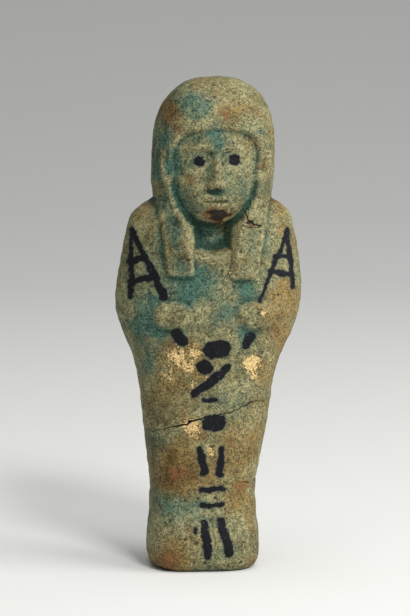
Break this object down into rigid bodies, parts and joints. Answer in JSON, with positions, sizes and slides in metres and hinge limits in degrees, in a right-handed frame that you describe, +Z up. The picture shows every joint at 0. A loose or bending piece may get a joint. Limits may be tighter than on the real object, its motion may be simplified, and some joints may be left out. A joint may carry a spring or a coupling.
{
  "type": "ushabti figurine",
  "caption": "Mummy-shaped faience funerary figurine with a tripartite wig, standing on its own flat foot.",
  "frame": {"origin": "on the standing surface, under the middle of the figurine's box, inside the flat underside of the foot", "axes": "+Z up through the crown of the wig, the face looks along -Y, +X to the figure's left hand"},
  "size_m": [0.0432, 0.0256, 0.115],
  "materials": {
    "faience": "worn matt glaze"
  },
  "bodies": {
    "root": {"figurine": "faience"}
  },
  "joints": []
}
